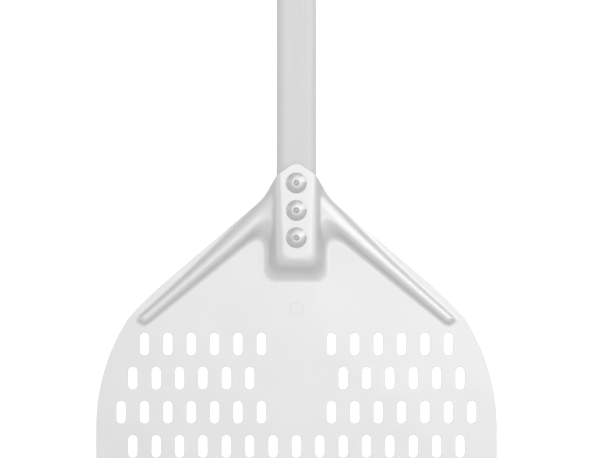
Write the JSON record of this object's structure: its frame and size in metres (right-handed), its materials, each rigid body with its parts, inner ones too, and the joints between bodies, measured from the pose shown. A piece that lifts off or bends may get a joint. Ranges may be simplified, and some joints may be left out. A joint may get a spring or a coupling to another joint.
{
  "type": "pizza peel",
  "caption": "Perforated metal peel with a square head, stamped ribs and socket, riveted to a flat-oval tube handle with a hand grip.",
  "frame": {"origin": "centre of the peel's length and width, on the plane that the blade and the hand grip rest on", "axes": "+Y along the handle towards the hand end, +Z out of the face that carries the food, +X to the right of someone looking down on that face with the handle pointing up"},
  "size_m": [0.33, 0.949, 0.0213],
  "materials": {
    "sheet": "fine bead-blasted and clear anodised sheet, satin",
    "tube": "satin anodised extruded tube",
    "rivet": "bright, with fine turned rings",
    "mandrel": "dull broken steel pin",
    "polymer": "fine-grained dark grey moulding"
  },
  "bodies": {
    "root": {"head": "sheet", "handle_tube": "tube", "tube_plug": "polymer", "end_grip": "polymer", "grip_rivet_body": "rivet", "grip_rivet_mandrel": "mandrel", "rivet_body_neck": "rivet", "rivet_mandrel_neck": "mandrel", "rivet_body_middle": "rivet", "rivet_mandrel_middle": "mandrel", "rivet_body_blade": "rivet", "rivet_mandrel_blade": "mandrel"}
  },
  "joints": []
}
